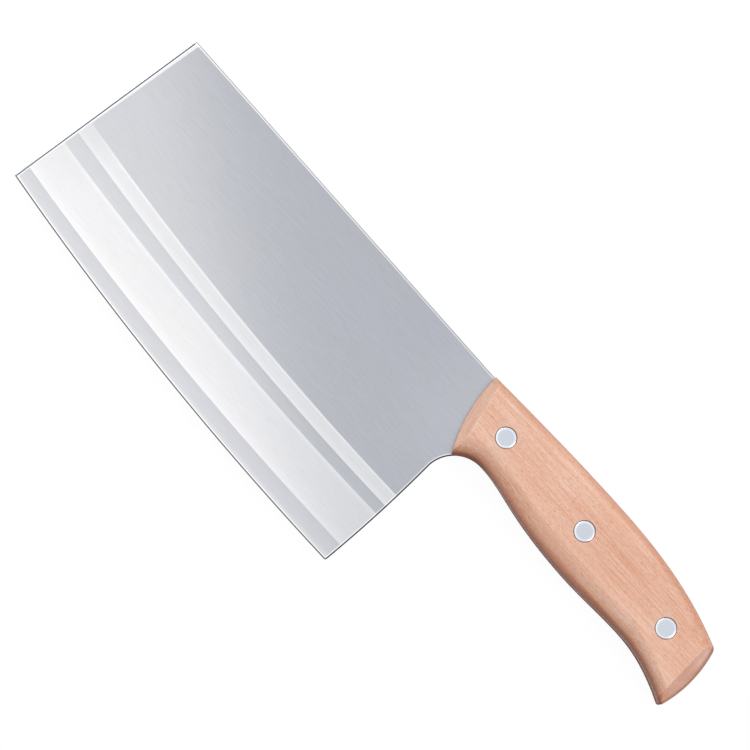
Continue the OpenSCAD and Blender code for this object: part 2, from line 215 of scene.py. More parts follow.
def rim_walls(quads, n, but=()):
    """Quads that close the rim of a sheet down to its twin, n vertices further on. The rim is the
    sides that belong to one quad only, less those that start at the vertices in but."""
    e = np.stack([quads, np.roll(quads, -1, axis=1)], -1).reshape(-1, 2)
    key = e.min(1).astype(np.int64) * (quads.max() + 1) + e.max(1)
    _, inverse, counts = np.unique(key, return_inverse=True, return_counts=True)
    a, b = e[(counts[inverse.ravel()] == 1) & ~np.isin(e[:, 0], but)].T
    return np.stack([a, a + n, b + n, b], -1)


def first_alike(points):
    """For each point the number of the first one in the same place, to a twenty thousandth of a
    millimetre."""
    cells = np.round(points * 2e4).astype(np.int64)
    _, firsts, key = np.unique(cells, axis=0, return_index=True, return_inverse=True)
    return firsts[key.ravel()]


def window(grid, centre, reach, r_top, r_low, first):
    """A round hole in a flat stretch of a grid. The cells within reach of the centre come out, and
    rings take their place, numbered from first: each ring vertex lies on the line from the
    window's border to the circle at the same angle, at a fixed share of the way.
    Gives the cells taken out, the rings' upper and lower points, their quads, and the loop."""
    rows, cols = grid.shape[:2]
    off = grid[..., :2] - centre
    j0, i0 = np.unravel_index(np.argmin(np.hypot(off[..., 0], off[..., 1])), (rows, cols))
    i_in = np.nonzero(np.abs(off[j0, :, 0]) < reach)[0]
    j_in = np.nonzero(np.abs(off[:, i0, 1]) < reach)[0]
    a, b, c, d = i_in[0], i_in[-1], j_in[0], j_in[-1]
    skip = np.zeros((rows - 1, cols - 1), bool)
    skip[c:d, a:b] = True
    k = np.arange(rows * cols).reshape(rows, cols)
    loop = np.concatenate([k[c, a:b], k[c:d, b], k[d, b:a:-1], k[d:c:-1, a]])
    border = grid.reshape(-1, 3)[loop]
    out = off.reshape(-1, 2)[loop]
    out = out / np.hypot(*out.T)[:, None]
    uppers, lowers = [], []
    for share in RING_SHARES:
        for r, layer in ((r_top, uppers), (r_low, lowers)):
            xy = border[:, :2] + (centre + r * out - border[:, :2]) * share
            layer.append(np.column_stack([xy, border[:, 2]]))
    n = len(loop)
    rings = np.vstack([loop] + [first + m * n + np.arange(n) for m in range(len(uppers))])
    return skip, np.vstack(uppers), np.vstack(lowers), ring_quads(rings), rings[-1]


def with_holes(grid, places, reach, r_top, r_low):
    """A grid with round holes at the named rivets: its points with the holes' upper radius, the
    same with their lower one, the quads, and the loop of vertices round each hole."""
    uppers, lowers = [grid.reshape(-1, 3)], [grid.reshape(-1, 3)]
    skip = np.zeros((grid.shape[0] - 1, grid.shape[1] - 1), bool)
    quads, loops, taken = [], [], len(uppers[0])
    for place in places:
        gone, upper, lower, around, loop = window(
            grid, np.array(RIVETS[place]), reach, r_top, r_low, taken)
        skip |= gone
        uppers.append(upper)
        lowers.append(lower)
        quads.append(around)
        loops.append(loop)
        taken += len(upper)
    quads = np.vstack([grid_quads(*grid.shape[:2], skip)] + quads)
    return np.vstack(uppers), np.vstack(lowers), quads, loops


def in_place(p, side=1):
    """Moves points from the toe's corner to the frame, mirrored to the lower side if side is -1."""
    p = np.array(p, float)
    p[:, 2] *= side
    return (p + [-MID[0], -MID[1], FACE_Z]) * 0.001


def piece_from(name, points, quads, material, replaced, traits, sharp, side=1):
    """A smooth-shaded piece with sharp edges above the given angle, carrying one number, or three
    for a tint, per vertex for each trait. Doubled vertices at seams are joined first, and sides
    and faces that have no length or width then go."""
    quads = first_alike(points)[quads]
    if side < 0:
        quads = quads[:, ::-1]
    kept = quads != np.roll(quads, 1, axis=1)
    kept &= (kept.sum(1) >= 3)[:, None]
    counts = kept.sum(1)[kept.any(1)]
    used, loops = np.unique(quads[kept], return_inverse=True)
    starts = np.cumsum(counts) - counts
    mesh = bpy.data.meshes.new(name)
    mesh.vertices.add(len(used))
    mesh.vertices.foreach_set("co", in_place(points[used], side).ravel())
    mesh.loops.add(len(loops))
    mesh.loops.foreach_set("vertex_index", loops.ravel().astype(np.int32))
    mesh.polygons.add(len(counts))
    mesh.polygons.foreach_set("loop_start", starts.astype(np.int32))
    mesh.update(calc_edges=True)
    mesh.validate()
    for trait, values in traits.items():
        values = np.asarray(values, np.float32)[used]
        kind, channel = ("FLOAT", "value") if values.ndim == 1 else ("FLOAT_VECTOR", "vector")
        mesh.attributes.new(trait, kind, "POINT").data.foreach_set(channel, values.ravel())
    mesh.polygons.foreach_set("use_smooth", np.ones(len(mesh.polygons), bool))
    mesh.set_sharp_from_angle(angle=math.radians(sharp))
    mesh.materials.append(material)
    piece = bpy.data.objects.new(name, mesh)
    bpy.context.scene.collection.objects.link(piece)
    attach(piece, "root")
    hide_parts(replaced)


# Camera, in metres, with its sensor in mm
scene = bpy.context.scene
scene.view_settings.view_transform = "Standard"

ROLL = math.radians(48.444785)
DISTANCE, VIEW_W, SENSOR_W = 3.0, 0.27525, 36
VIEW_X, VIEW_Y = -0.00927, 0.01204
camera_data = bpy.data.cameras.new("camera")
camera_data.sensor_width = SENSOR_W
camera_data.lens = SENSOR_W * DISTANCE / VIEW_W
camera_data.clip_start, camera_data.clip_end = 0.05, 60
camera = bpy.data.objects.new("camera", camera_data)
camera.location = (VIEW_X, VIEW_Y, FACE_Z * 0.001 + DISTANCE)
camera.rotation_euler = (0, 0, ROLL)
scene.collection.objects.link(camera)
scene.camera = camera


# Materials
class Finish:
    """Builds the nodes of one material, or of the world. Calls return an output socket."""

    def __init__(self, owner, out="ShaderNodeOutputMaterial"):
        owner.use_nodes = True
        self.owner = owner
        self.tree = owner.node_tree
        self.tree.nodes.clear()
        self.out = self.tree.nodes.new(out)

    def feed(self, socket, value):
        """Links an output to the input socket, or writes a plain value there."""
        if isinstance(value, bpy.types.NodeSocket):
            self.tree.links.new(value, socket)
        else:
            socket.default_value = value

    def add(self, kind, inputs=None, output=0, **props):
        n = self.tree.nodes.new(kind)
        for key, value in props.items():
            setattr(n, key, value)
        for key, value in (inputs or {}).items():
            self.feed(n.inputs[key], value)
        return n.outputs[output]

    def calc(self, operation, a, b=0.0, c=0.0):
        return self.add("ShaderNodeMath", {0: a, 1: b, 2: c}, operation=operation)

    def trait(self, name, output="Fac"):
        return self.add("ShaderNodeAttribute", output=output, attribute_name=name)

    def place(self, turn=0.0, sizes=(1, 1, 1), shift=(0, 0, 0)):
        """Object coordinates, turned about Z in degrees and counted in the given sizes, in mm."""
        turned = self.add("ShaderNodeVectorRotate", {
            "Vector": self.add("ShaderNodeTexCoord", output="Object"), "Axis": (0, 0, 1),
            "Angle": math.radians(turn)}, rotation_type="AXIS_ANGLE")
        return self.add("ShaderNodeMapping", {
            "Vector": turned, "Location": shift, "Scale": tuple(1000 / s for s in sizes)})

    def grain(self, sizes, turn=0.0, shift=(0, 0, 0), detail=2.0, rough=0.5, distortion=0.0):
        """Noise with features of the given sizes in mm along X, Y and Z, turned about Z."""
        return self.add("ShaderNodeTexNoise", {
            "Vector": self.place(turn, sizes, shift), "Scale": 1.0, "Detail": detail,
            "Roughness": rough, "Distortion": distortion}, output="Fac")

    def ramp(self, fac, stops, reach=1):
        """A value or colour that changes with fac. Stops are (place, value) pairs, and the places
        run up to reach."""
        n = self.tree.nodes.new("ShaderNodeValToRGB")
        self.feed(n.inputs[0], fac if reach == 1 else self.calc("DIVIDE", fac, reach))
        e = n.color_ramp.elements
        while len(e) < len(stops):
            e.new(0.5)
        for item, (at, value) in zip(e, stops):
            item.position = at / reach
            item.color = (*np.broadcast_to(value, 3), 1)
        return n.outputs[0]

    def mix(self, fac, a, b, blend="MIX"):
        """Colour mix of a and b."""
        a, b = (c if isinstance(c, bpy.types.NodeSocket) else (*c, 1) for c in (a, b))
        return self.add("ShaderNodeMix", {0: fac, 6: a, 7: b}, 2, data_type="RGBA", blend_type=blend)

    def tinged(self, shade, by):
        """The product of two colours or values."""
        return self.mix(1.0, shade, by, "MULTIPLY")

    def bump(self, height, strength, deep):
        """Bump of the given depth in mm."""
        return self.add("ShaderNodeBump", {
            "Height": height, "Strength": strength, "Distance": deep * 0.001})

    def seen(self):
        """1 for rays from the camera, in reflections or through glass and 0 for the rest, and the
        same for reflections alone."""
        path = self.tree.nodes.new("ShaderNodeLightPath").outputs
        mirrored = path["Is Glossy Ray"]
        seen = self.calc("MAXIMUM", path["Is Camera Ray"], mirrored)
        return self.calc("MAXIMUM", seen, path["Is Transmission Ray"]), mirrored

    def surface(self, shader):
        self.tree.links.new(shader, self.out.inputs["Surface"])
        return self.owner


def blade_steel():
    """Satin steel: brushed along the blade, with the grind's bands told apart by how far a place lies
    from the edge, and along each border a painted dark line of shade and a painted highlight line
    inside it, by how far the place lies from the outline, less a set-in that differs from border
    to border."""
    f = Finish(bpy.data.materials.new("blade_steel"))
    from_edge = f.trait("from_edge")
    tone = f.ramp(from_edge, [
        (0, (0.545, 0.557, 0.60)), (1.3, (0.545, 0.557, 0.60)), (2.5, (0.485, 0.50, 0.552)),
        (5, (0.475, 0.49, 0.537)), (7.6, (0.455, 0.47, 0.515)), (7.8, (0.65, 0.665, 0.705)),
        (9.3, (0.62, 0.635, 0.68)), (12, (0.597, 0.61, 0.655)), (22.8, (0.592, 0.607, 0.65)),
        (24.4, (0.65, 0.665, 0.71)), (24.8, (0.466, 0.486, 0.535)), (28.5, (0.455, 0.475, 0.52)),
        (29.4, (0.43, 0.45, 0.495)), (29.75, (0.67, 0.685, 0.72)), (30.6, (0.625, 0.64, 0.68)),
        (32, (0.60, 0.615, 0.655)), (34.3, (0.602, 0.617, 0.657)), (34.8, (0.68, 0.695, 0.73)),
        (35.1, (0.66, 0.675, 0.71)), (35.4, (0.447, 0.465, 0.513))], 50)
    by_toe = f.ramp(f.trait("from_toe"), [(0, 1.0), (10, 0.9), (24, 0.0)], 40)
    fade = f.ramp(from_edge, [
        (2, 0.3), (4, 0.0), (14, 0.12), (24.4, 0.35), (24.8, 0.0), (29.5, 0.0), (29.8, 0.4),
        (34.2, 0.5), (34.6, 0.7), (35.2, 0.7), (35.4, 0.0)], 50)
    tone = f.mix(f.calc("MULTIPLY", fade, by_toe), tone, (0.50, 0.515, 0.55))
    long_lines = f.grain((20, 0.6, 0.6), -1.3)
    hairs = f.grain((5.2, 0.3, 0.3), -1.3, detail=1.0)
    cloud = f.grain((45, 14, 14), -2.5)
    hue = f.grain((30, 10, 10), -2.5, (7.1, 3.3, 0.4))
    vary = 1.0
    for grain, strength in ((cloud, 0.035), (long_lines, 0.05), (hairs, 0.13)):
        vary = f.calc("MULTIPLY_ADD", f.calc("SUBTRACT", grain, 0.5), strength, vary)
    brushed = f.tinged(tone, vary)
    brushed = f.mix(f.ramp(hue, [(0.36, 0.0), (0.64, 1.0)]), brushed,
                    f.tinged(brushed, (1.0, 0.996, 0.984)))
    shade = f.mix(f.trait("toe_facet"), brushed, f.tinged((0.565, 0.595, 0.655), vary))
    rim = f.trait("rim")
    set_in = f.calc("SUBTRACT", rim, f.trait("rim_set_in"))
    away = f.ramp(rim, [(0.0, 0.0), (0.03, 1.0)])
    line = f.ramp(set_in, [(0, 0.0), (0.44, 0.0), (0.57, 1.0), (0.82, 1.0), (1.04, 0.0)], 2)
    arris = f.ramp(set_in, [(0, 0.0), (0.04, 1.0), (0.44, 1.0), (0.56, 0.0)], 2)
    # Painted highlight line and painted dark line of shade along each border, standing in for the
    # light and shade that the rounded rim catches.
    for mark, strength, tint in ((line, "rim_painted_highlight", (0.92, 0.93, 0.955)),
                                 (arris, "rim_painted_shade", (0.03, 0.03, 0.035))):
        share = f.calc("MULTIPLY", f.calc("MULTIPLY", mark, f.trait(strength)), away)
        shade = f.mix(share, shade, tint)
    height = f.calc("ADD", f.calc("MULTIPLY", long_lines, 0.6), f.calc("MULTIPLY", hairs, 0.4))
    rough = f.ramp(from_edge, [
        (0, 0.34), (7.6, 0.34), (7.8, 0.24), (24.4, 0.32), (24.7, 0.25), (29.5, 0.25),
        (29.7, 0.40), (35.1, 0.40), (35.3, 0.25)], 50)
    return f.surface(f.add("ShaderNodeBsdfPrincipled", {
        "Base Color": shade, "Metallic": 1.0, "Roughness": rough,
        "Normal": f.bump(height, 0.12, 0.03)}))


def rivet_steel():
    """Satin rivet steel with a faint turned grain, and a painted highlight on the head's rim chamfer.
    The rear rivet has painted light: it is a little brighter than the others, where the lamps
    light it less."""
    f = Finish(bpy.data.materials.new("rivet_steel"))
    grain = f.grain((1.2, 0.25, 0.6), detail=3.0, rough=0.6)
    shade = f.mix(grain, (0.53, 0.565, 0.635), (0.60, 0.635, 0.705))
    # Painted light: the rear rivet is lifted a little brighter, where the lamps light it less.
    rear_x = RIVETS["rear"][0] - MID[0]
    along = f.add("ShaderNodeSeparateXYZ", {"Vector": f.place()}, output="X")
    rear = f.ramp(along, [(rear_x - 30, 0.0), (rear_x - 10, 1.0)], 200)
    shade = f.mix(rear, shade, f.tinged(shade, (1.1, 1.1, 1.1)))
    # Painted highlight on the ring of the head's rim chamfer.
    rim = f.ramp(f.trait("from_axis"), [
        (2.7, 0.0), (3.15, 0.45), (3.35, 1.0), (3.55, 1.0), (3.75, 0.3), (3.95, 0.0)], 5)
    return f.surface(f.add("ShaderNodeBsdfPrincipled", {
        "Base Color": f.mix(rim, shade, (0.76, 0.81, 0.88)), "Metallic": 1.0, "Roughness": 0.3,
        "Normal": f.bump(grain, 0.1, 0.03)}))


def beech(name, shift):
    """Pale pinkish beech: soft growth layers, fine reddish lines and short flecks along the handle
    with paler wood between them, solid through the wood so that its ends show them cut across.
    The tint that each vertex carries is painted shade and highlight: darker and browner down the
    roundings, at the butt's rim and on the walls toward the plate, lighter along the end bevels'
    ridges and lifted behind the choil."""
    f = Finish(bpy.data.materials.new(name))
    a, b, c = shift
    layers = f.grain((60, 4.5, 1.5), -0.8, shift, distortion=0.2)
    sheets = f.grain((70, 30, 0.8), -0.8, (c, a, b), detail=1.0)
    lines = f.grain((24, 0.25, 0.27), -1.0, shift, detail=1.0)
    pale = f.grain((18, 0.27, 0.34), -1.2, (b, a, c), detail=1.0, rough=0.4)
    flecks = f.grain((1.7, 0.2, 0.22), -1.0, shift, detail=1.0)
    specks = f.grain((0.7, 0.2, 0.2), -1.0, (c, b, a), detail=1.0)
    base = f.mix(f.ramp(layers, [(0.32, 0.0), (0.68, 1.0)]), (0.87, 0.575, 0.455),
                 (0.79, 0.465, 0.34))
    for grain, low, high, share, colour in (
            (sheets, 0.46, 0.60, 0.25, (0.92, 0.68, 0.57)),
            (lines, 0.42, 0.66, 0.68, (0.76, 0.38, 0.24)),
            (pale, 0.48, 0.68, 0.60, (0.92, 0.71, 0.62)),
            (flecks, 0.55, 0.72, 0.64, (0.62, 0.245, 0.14)),
            (specks, 0.62, 0.76, 0.45, (0.45, 0.17, 0.10))):
        base = f.mix(f.ramp(grain, [(low, 0.0), (high, share)]), base, colour)
    base = f.tinged(base, f.ramp(sheets, [
        (0.40, (0.97, 0.945, 0.93)), (0.50, (1.0, 1.0, 1.0)), (0.60, (1.0, 1.01, 1.015))]))
    # Painted shade and highlight, carried per vertex in the tint.
    base = f.tinged(base, f.trait("tint", "Color"))
    # Painted shade in the groove round each rivet head.
    base = f.mix(f.calc("MULTIPLY", f.trait("groove_painted_shade"), 0.5), base, (0.22, 0.09, 0.055))
    height = f.calc("SUBTRACT", f.calc("MULTIPLY", pale, 0.4), f.calc("MULTIPLY", flecks, 0.6))
    rough = f.ramp(lines, [(0.3, 0.52), (0.7, 0.62)])
    return f.surface(f.add("ShaderNodeBsdfPrincipled", {
        "Base Color": base, "Roughness": rough, "Specular IOR Level": 0.06,
        "Normal": f.bump(height, 0.22, 0.05)}))


def studio_white():
    """Floor: plain white paint that shows a soft shadow, and reads as white background to the
    camera and in reflections."""
    f = Finish(bpy.data.materials.new("studio_white"))
    seen, _ = f.seen()
    light = f.mix(f.grain((40, 40, 40)), (0.82, 0.82, 0.82), (0.84, 0.84, 0.84))
    paint = f.add("ShaderNodeBsdfDiffuse", {"Color": f.mix(seen, (0.35, 0.35, 0.35), light)})
    glow = f.add("ShaderNodeEmission", {"Color": (1, 1, 1, 1), "Strength": 1.03})
    f.owner.cycles.emission_sampling = "NONE"
    return f.surface(f.add("ShaderNodeMixShader", {
        0: f.calc("MULTIPLY", seen, 0.93), 1: paint, 2: glow}))


STEEL = blade_steel()
RIVET_STEEL = rivet_steel()
WOOD_UPPER = beech("beech_upper", (3.1, 7.7, 1.3))
WOOD_LOWER = beech("beech_lower", (41.3, 17.2, 9.6))


# Blade
def toe_x(y):
    """The toe's line: x is y times the tangent of its lean."""
    return y * math.tan(TOE_LEAN)


def top_y(x):
    """The plate's upper border: the straight spine, then the handle's back line under the wood."""
    return line_at(BACK_LINE, x) * eased((x - BLADE_L - 0.4) / 0.8)


def tang_inset(x):
    """How far the tang's lower border stands back from the handle's lower line."""
    return np.interp(x, [187, 196, 220, 250, 275, 296], [0, 0.42, 0.5, 0.55, 0.7, 0.75])


def right_x(y):
    """The blade's border toward the handle: the heel's bow, then the choil's arc, then a seam over
    the top of the choil, which swings out past the front rivet."""
    bow = BOW_C[0] + np.sqrt(HEEL_BOW_R ** 2 - (y - BOW_C[1]) ** 2)
    arc = CHOIL_C[0] - np.sqrt(np.maximum(CHOIL_R ** 2 - (y - CHOIL_C[1]) ** 2, 0))
    seam = CHOIL_C[0] + SEAM_SWING * eased((y + NECK_DEEP) / SEAM_RISE)
    return np.where(y < CHOIL_C[1], bow, np.where(y < -NECK_DEEP, arc, seam))


def rim_distance(xy):
    """Least distance from places on the plate to its outline, which border that is, 0 the spine,
    1 the toe, 2 the edge, 3 heel and choil, 4 the handle's lower line and butt, and the distance
    to the toe."""
    x, y = xy.T
    toe = x * -TOE_DIR[1] + y * TOE_DIR[0]
    edge = EDGE_R - np.hypot(*(xy - EDGE_C).T)
    heel = np.where(y < CHOIL_C[1], HEEL_BOW_R - np.hypot(*(xy - BOW_C).T),
                    np.hypot(*(xy - CHOIL_C).T) - CHOIL_R)
    heel = np.where(x > CHOIL_C[0], FAR, heel)
    belly = np.where(x < CHOIL_C[0], FAR, y - line_at(BELLY_LINE, x) - tang_inset(x))
    low = np.minimum(belly, inside_arc(xy, BUTT_C, BUTT_R, 1))
    borders = np.stack([top_y(x) - y, toe, edge, heel, low])
    return np.maximum(borders.min(0), 0), borders.argmin(0), toe


def butt_corners(xy, sheet):
    """Rounds the two corners at the far end of a sheet of rows that run from the front to the
    butt, with the border lines' own directions at each corner."""
    for row, beside in ((0, 1), (-1, -2)):
        corner = sheet[row, -1]
        along, up = sheet[row, -2] - corner, sheet[beside, -1] - corner
        xy = rounded_corner(xy, corner, along / np.hypot(*along), up / np.hypot(*up), BUTT_CORNER_R)
    return xy


def blade_sheet():
    """The blade's upper face as a grid. Each vertex lies a share t of the way from the toe's line
    to the border toward the handle, at the height that its row gives: below, a distance from the
    edge's arc that the grind's bands widen from toe to heel, and above, a blend to the spine.
    Gives the grid, each row's distance from the edge, and the row where the seam starts."""
    bands = np.concatenate([
        FINE, np.linspace(2.4, 7.4, 5), [7.6, 7.7, 7.8, 8.1], np.linspace(9.4, 24.1, 11),
        [24.4, 24.55, 24.65, 24.9], np.linspace(26, 29.1, 4), [29.4, 29.55, 29.65, 29.9],
        np.linspace(30.8, 34.7, 5), [35.0, 35.15, 35.25, 35.5, 36.0]])
    t = spaced(EDGE_L, FINE[:-2] + list(np.arange(0.9, 2.5, 0.12)), 1.6, FINE) / EDGE_L

    def fitted(row_y):
        """A row whose heights are row_y of x, closing in on each place's share of the way."""
        x = t * HEEL_X
        for _ in range(8):
            y = row_y(x)
            x = toe_x(y) + t * (right_x(y) - toe_x(y))
        return np.column_stack([x, y])

    def band_row(b):
        """The row at the nominal distance b from the edge, on an arc round the edge's centre."""
        over = max(b - BAND_B[-1], 0)
        toe, heel, bow = (np.interp(b, BAND_B, w) for w in (BAND_TOE, BAND_HEEL, BAND_BOW))
        d = (1 - t) * toe + t * heel + 4 * t * (1 - t) * bow + over
        return fitted(lambda x: EDGE_C[1] - np.sqrt((EDGE_R - d) ** 2 - (x - EDGE_C[0]) ** 2))

    rows = [band_row(b) for b in bands]
    last = rows[-1][:, 1]
    step, level = 1.8, -2.6
    heel_y = np.arange(last[-1] + step, CHOIL_C[1] - step / 2, step)
    choil_y = CHOIL_C[1] + CHOIL_R * np.sin(np.radians(np.linspace(0, 90, 15)))
    neck_y = np.concatenate([
        -NECK_DEEP + np.array(FINE[1:]), np.arange(-22.4, level - step / 2, step), [level]])
    for y_right in np.concatenate([heel_y, choil_y, neck_y]):
        share = (y_right - last[-1]) / (level - last[-1])
        rows.append(fitted(lambda x: last + share * (level - last)))
    for a in FINE[::-1]:
        rows.append(fitted(lambda x: top_y(x) - a))
    from_edge = np.concatenate([bands, np.full(len(rows) - len(bands), UNGROUND)])
    return np.array(rows), from_edge, len(bands) + len(heel_y) + len(choil_y) - 1


def tang_sheet(seam):
    """The tang from the seam over the choil to the butt's arc, filled between the belly line, the
    back line and the arc."""
    places = spaced(1.0, [0, 0.05], 0.02, [0, 0.001, 0.003, 0.006, 0.01])

    def to_butt(line, start):
        """Places along X from start to where the line meets the butt's arc."""
        x = np.linspace(start, BUTT_X + 2, 4000)
        past = inside_arc(np.column_stack([x, line_at(line, x)]), BUTT_C, BUTT_R, 1) < 0
        return start + (x[np.argmax(past)] - start) * places

    low_x, high_x = to_butt(BELLY_LINE, seam[0, 0]), to_butt(BACK_LINE, seam[-1, 0])
    low = np.column_stack([low_x, line_at(BELLY_LINE, low_x) + tang_inset(low_x)])
    high = np.column_stack([high_x, line_at(BACK_LINE, high_x)])
    share = (seam[:, 1] - seam[0, 1]) / (seam[-1, 1] - seam[0, 1])
    up = run_length(seam)
    sheet = filled(low, high, seam, arc_between(BUTT_C, low[-1], high[-1], share), up / up[-1])
    return butt_corners(sheet.reshape(-1, 2), sheet).reshape(sheet.shape)


def plate_half(xy, from_edge):
    """Half the plate's thickness: the grind's straight bands, less the toe's facet, the spine's
    chamfer and a small round along every rim. Gives also the distance to the rim, which border
    that is, and where the toe's facet lies."""
    x, y = xy.T
    rim, border, toe = rim_distance(xy)
    half = np.interp(from_edge, BAND_B, BAND_HALF)
    half = half - EDGE_FALL * np.clip(1 - from_edge / EDGE_FALL_W, 0, 1)
    wide = np.interp(-y, [0, 20, 50, -TIP[1]], [2.2, 1.95, 1.6, 1.15])
    slope = np.interp(-y, [0, -TIP[1]], [0.25, 0.11])
    half = half - np.minimum(slope * np.clip(wide - toe, 0, None), 0.7 * half)
    chamfer = np.clip(SPINE_CHAMFER - rim, 0, None) * eased((BLADE_L - 0.2 - x) / 0.6)
    half = half - np.where(border == 0, chamfer, 0)
    small = np.minimum(np.where(x > BLADE_L, TANG_RIM_R, BLADE_RIM_R), 0.6 * half)
    half = np.maximum(half - quarter_drop(rim, small), 0.01)
    return half, rim, border, np.clip((wide - toe) / 0.12, 0, 1)


def rim_looks(xy, border):
    """How strong the nearest border's painted dark line of shade is, how bright its painted highlight
    line, and how far that line is set in, with the borders in rim_distance's order."""
    x, y = xy.T
    dark = np.choose(border, [np.interp(x, [0, 70, 155], [0.18, 0.18, 0.4]),
                              np.interp(-y, [0, 90], [0.92, 0.8]), 0.85, 1.0, 0.15])
    light = np.choose(border, [np.interp(x, [0, 60, 120, 155], [0.95, 1.0, 0.75, 0.6]),
                               0.3, 0.5, 0.62, 0.2])
    return dark, light, np.choose(border, [-0.2, 0.3, 0.0, 0.03, -0.1])


def bored(sheet, places):
    """A flat sheet with the bores of the named rivets cut in it: its points and quads."""
    bore_r = BARREL_R + BARREL_GAP
    level = np.dstack([sheet, np.zeros(sheet.shape[:2])])
    points, _, quads, _ = with_holes(level, places, PLATE_WINDOW, bore_r, bore_r)
    return points[:, :2], quads


def make_blade():
    """Blade and tang: both faces of the plate, joined along the outline and the rivet bores."""
    grid, from_edge, seam_row = blade_sheet()
    tang = tang_sheet(grid[seam_row:, -1])
    heel = grid[0, -1]
    along_toe = np.array([EDGE_C[1] - TIP[1], TIP[0] - EDGE_C[0]]) / EDGE_R
    along_heel = np.array([heel[1] - EDGE_C[1], EDGE_C[0] - heel[0]]) / EDGE_R
    up_heel = np.array([BOW_C[1] - heel[1], heel[0] - BOW_C[0]]) / HEEL_BOW_R
    flat = rounded_corner(grid.reshape(-1, 2), np.zeros(2), np.array([1, 0]), TOE_DIR, TOE_CORNER_R)
    flat = rounded_corner(flat, TIP, along_toe, -TOE_DIR, TIP_CORNER_R)
    flat = rounded_corner(flat, heel, along_heel, up_heel, HEEL_CORNER_R)

    tang, tang_quads = bored(tang, ("middle", "rear"))
    blade, blade_quads = bored(flat.reshape(grid.shape), ("front",))
    sheet = np.vstack([tang, blade])
    n, m = len(sheet), len(tang)
    quads = first_alike(sheet)[np.vstack([tang_quads, blade_quads + m])]
    deep = np.full(n, UNGROUND)
    deep[m:m + len(flat)] = np.repeat(from_edge, grid.shape[1])
    half, rim, border, facet = plate_half(sheet, deep)
    dark, light, set_in = rim_looks(sheet, border)
    body = np.vstack([np.column_stack([sheet, half]), np.column_stack([sheet, -half])])
    faces = np.vstack([quads, quads[:, ::-1] + n, rim_walls(quads, n)])
    traits = {"from_edge": deep, "from_toe": np.clip(sheet[:, 0] + 8, 0, 60),
              "rim": np.minimum(rim, 3), "rim_set_in": set_in, "rim_painted_shade": dark,
              "rim_painted_highlight": light, "toe_facet": facet}
    piece_from("ground_blade", body, faces, STEEL, "blade",
               {name: np.tile(values, 2) for name, values in traits.items()}, 40)


# Wooden scales
# Painted shade that multiplies the wood's colour where its surface turns from the light: by the
# share of the lower rounding gone through from the flat down to the rim, the same in the choil,
# and by the distance in mm from the back line and the butt's arc
UNDER_PAINTED_SHADE = [
    (0.34, 1, 0.97, 0.94), (0.454, 1, 0.92, 0.88), (0.567, 0.98, 0.88, 0.82),
    (0.68, 0.965, 0.81, 0.71), (0.794, 0.845, 0.63, 0.55), (0.85, 0.77, 0.58, 0.535),
    (0.907, 0.765, 0.617, 0.618), (1, 0.8, 0.65, 0.67)]
CHOIL_PAINTED_SHADE = [(0.45, 1, 1, 1), (0.75, 0.85, 0.8, 0.78), (0.85, 0.62, 0.48, 0.43), (1, 0.5, 0.36, 0.33)]
BACK_PAINTED_SHADE = [
    (0, 1, 0.93, 0.92), (0.5, 1, 0.90, 0.89), (1, 0.96, 0.83, 0.77), (1.5, 0.94, 0.835, 0.77),
    (2, 0.94, 0.894, 0.857), (3, 1, 1, 1)]
BUTT_PAINTED_SHADE = [
    (0, 0.64, 0.56, 0.56), (0.5, 0.68, 0.59, 0.61), (1, 0.72, 0.65, 0.67),
    (1.25, 0.88, 0.83, 0.86), (1.6, 1, 1, 1)]
# and painted highlight along an end bevel's ridge, and painted shade greying down the front bevel,
# by how far in mm past the ridge the place lies
RIDGE_PAINTED_HIGHLIGHT = [(-0.6, 1, 1, 1), (-0.3, 1.03, 1.07, 1.12), (0.05, 1.03, 1.07, 1.12), (0.4, 1, 1, 1)]
FRONT_PAINTED_SHADE = [(0, 1, 1, 1), (0.3, 0.92, 0.95, 0.96), (4.5, 0.91, 0.93, 0.94), (5.2, 0.82, 0.82, 0.82)]
# and painted shade and sheen on the butt's bevel, darker and warmer at its lower end, by the angle
# in degrees round the butt's arc
BUTT_BEVEL_PAINTED_LIGHT = [
    (-11, 0.91, 0.74, 0.65), (-7, 0.94, 0.87, 0.86), (-2, 0.95, 0.91, 0.94), (8, 0.95, 0.88, 0.90),
    (14, 1.03, 1.03, 1.1)]
# and painted shade on the face that lies on the plate, which darkens the scale's walls toward the
# steel
INNER_PAINTED_SHADE = (0.62, 0.42, 0.36)


def low_line():
    """The handle's lower line: the choil's arc from its left side to its top, then the belly line
    to past the butt. Gives points, inward directions and rounding widths."""
    turn = np.radians(np.linspace(180, 90, 700))
    arc_dir = np.column_stack([np.cos(turn), np.sin(turn)])
    x = np.linspace(CHOIL_C[0], BUTT_X + 6, 4000)[1:]
    y = line_at(BELLY_LINE, x)
    slope = np.gradient(y, x)
    line_dir = np.column_stack([-slope, np.ones_like(x)]) / np.hypot(slope, 1)[:, None]
    return (np.vstack([CHOIL_C + CHOIL_R * arc_dir, np.column_stack([x, y])]),
            np.vstack([arc_dir, line_dir]),
            np.concatenate([np.full(len(turn), LOW_ROUND[0][1]), line_at(LOW_ROUND, x)]))


def back_line():
    """The handle's back line from before the wood's front to past the butt, likewise."""
    x = np.linspace(BLADE_L - 6, BUTT_X + 6, 5000)
    y = line_at(BACK_LINE, x)
    slope = np.gradient(y, x)
    inward = np.column_stack([slope, -np.ones_like(x)]) / np.hypot(slope, 1)[:, None]
    return np.column_stack([x, y]), inward, line_at(BACK_ROUND, x)


